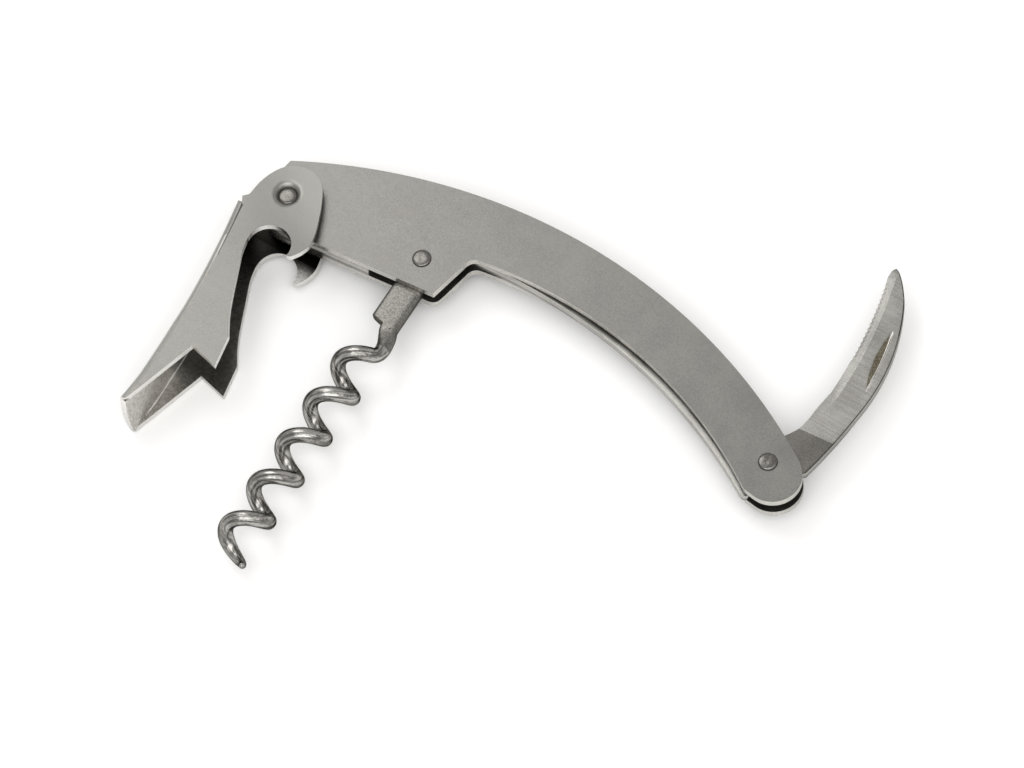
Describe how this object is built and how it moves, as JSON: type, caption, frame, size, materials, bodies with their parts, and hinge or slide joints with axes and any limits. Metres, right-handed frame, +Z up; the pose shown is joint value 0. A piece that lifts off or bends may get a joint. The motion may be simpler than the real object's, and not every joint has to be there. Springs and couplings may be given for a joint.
{
  "type": "lever corkscrew (waiter's friend)",
  "caption": "Folding waiter's corkscrew in plain stainless steel: arched handle, open right-hand worm, bottle-rim lever with cap-lifter hook, and a serrated foil knife.",
  "frame": {"origin": "under the middle of the part's bounding box, on the plane it lies on", "axes": "+X from the lever pivot to the knife pivot along the handle, +Y to the side the open knife points to (the open worm points to -Y), +Z up through the handle's thickness"},
  "size_m": [0.114, 0.1063, 0.0126],
  "materials": {
    "satin_stainless": "satin, lightly tumbled",
    "polished_stainless": "polished",
    "ground_stainless": "cross-ground",
    "spring_steel": "satin"
  },
  "bodies": {
    "handle": {"near_plate": "satin_stainless", "far_plate": "satin_stainless", "back_spring": "spring_steel", "worm_rivet": "polished_stainless", "knife_rivet": "polished_stainless"},
    "pin": {"lever_rivet": "polished_stainless"},
    "lever": {"lever": "satin_stainless"},
    "worm": {"worm": "polished_stainless"},
    "knife": {"knife_blade": "ground_stainless"}
  },
  "joints": [
    {"name": "worm_fold", "type": "hinge", "parent": "handle", "child": "worm", "pos_m": [-0.0237, 0.0116, 0.0063], "axis": [0, 0, 1], "range_deg": [0, 77]},
    {"name": "lever_stow", "type": "hinge", "parent": "handle", "child": "pin", "pos_m": [-0.0504, 0.0092, 0.0063], "axis": [0, 0, 1], "range_deg": [0, 55]},
    {"name": "lever_swing", "type": "hinge", "parent": "pin", "child": "lever", "pos_m": [-0.0504, 0.0092, 0.0063], "axis": [0, 0, 1], "range_deg": [-60, 28]},
    {"name": "knife_fold", "type": "hinge", "parent": "handle", "child": "knife", "pos_m": [0.0493, 0.0092, 0.0063], "axis": [0, 0, 1], "range_deg": [-90, 66]}
  ],
  "couplings": [
    {"joint": "worm_fold", "follows": "lever_stow", "ratio": 1.4}
  ]
}
